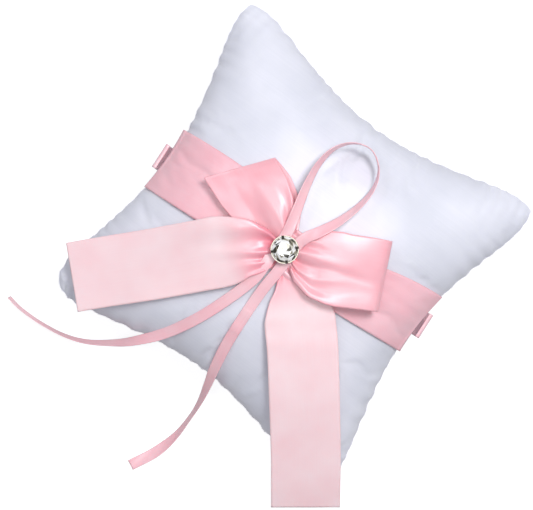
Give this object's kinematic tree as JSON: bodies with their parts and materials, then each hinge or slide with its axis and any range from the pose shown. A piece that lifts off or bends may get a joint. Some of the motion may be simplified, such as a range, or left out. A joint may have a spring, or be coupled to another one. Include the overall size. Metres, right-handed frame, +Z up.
{
  "type": "ring bearer pillow",
  "caption": "Square satin cushion crossed by a ribbon band, with a looped bow, a stone over its knot, a narrow ribbon to tie rings to, and a hand strap behind.",
  "frame": {"origin": "on the surface that it lies on, under the middle of the cushion, in the plane of the strap's underside", "axes": "+X along the side that the wide band crosses to, +Y towards the side that the ring loop points to, +Z up, out of the front"},
  "size_m": [0.218, 0.2487, 0.0799],
  "materials": {
    "cover_satin": "white polyester satin",
    "ribbon_satin": "pink satin ribbon",
    "filling_fibre": "loose polyester fibre",
    "sewing_thread": "spun polyester",
    "stone_glass": "faceted, foil backed",
    "stone_metal": "polished silver plate"
  },
  "bodies": {
    "root": {"front_panel": "cover_satin", "back_panel": "cover_satin", "fibre_filling": "filling_fibre", "seam_thread": "sewing_thread", "front_band": "ribbon_satin", "hand_strap": "ribbon_satin", "bow_knot": "ribbon_satin", "bow_loop_left": "ribbon_satin", "bow_loop_right": "ribbon_satin", "bow_tail_left": "ribbon_satin", "bow_tail_right": "ribbon_satin", "ring_loop": "ribbon_satin", "ring_tail_left": "ribbon_satin", "ring_tail_right": "ribbon_satin", "crystal": "stone_glass", "stone_cup": "stone_metal", "tacking_thread": "sewing_thread"}
  },
  "joints": []
}
